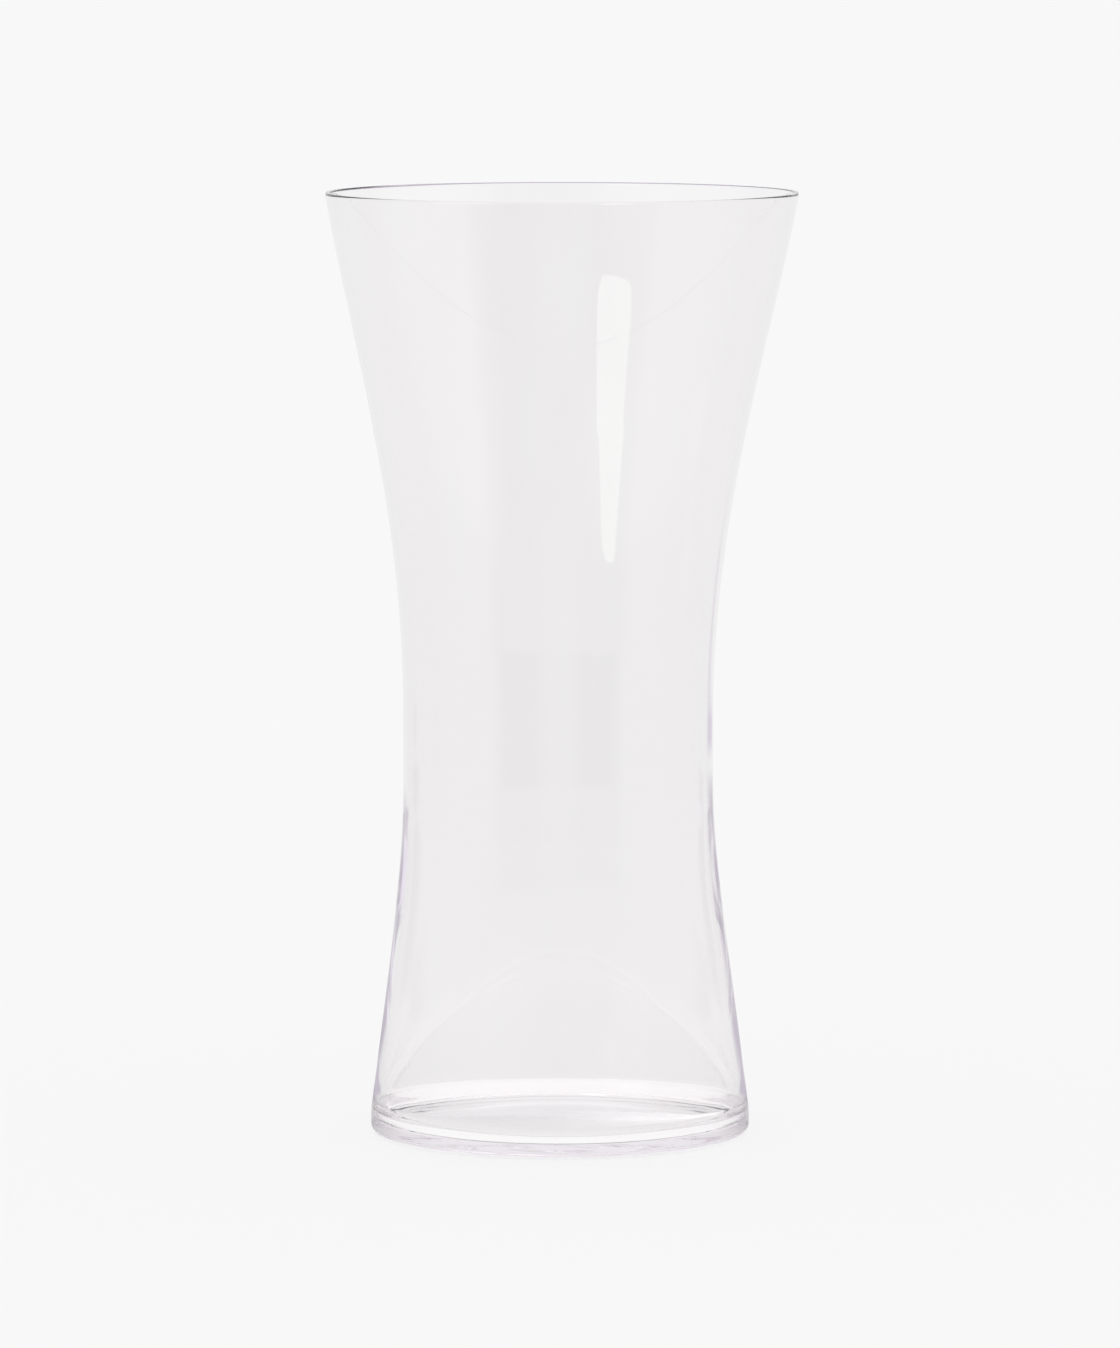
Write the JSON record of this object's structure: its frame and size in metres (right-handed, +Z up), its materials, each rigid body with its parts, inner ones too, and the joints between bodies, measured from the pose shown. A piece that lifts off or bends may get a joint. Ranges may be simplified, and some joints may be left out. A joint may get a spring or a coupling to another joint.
{
  "type": "mixing glass",
  "caption": "Clear one-piece mixing glass with a flared mouth, a gentle waist, a wider foot and a shallow kick-up underneath.",
  "frame": {"origin": "middle of the foot, on the plane that the glass stands on", "axes": "+Z up along the glass's axis of revolution, towards the mouth; +X and +Y are level and equivalent"},
  "size_m": [0.095, 0.095, 0.19],
  "materials": {
    "glass": "clear, fire polished"
  },
  "bodies": {
    "root": {"mixing_glass": "glass"}
  },
  "joints": []
}
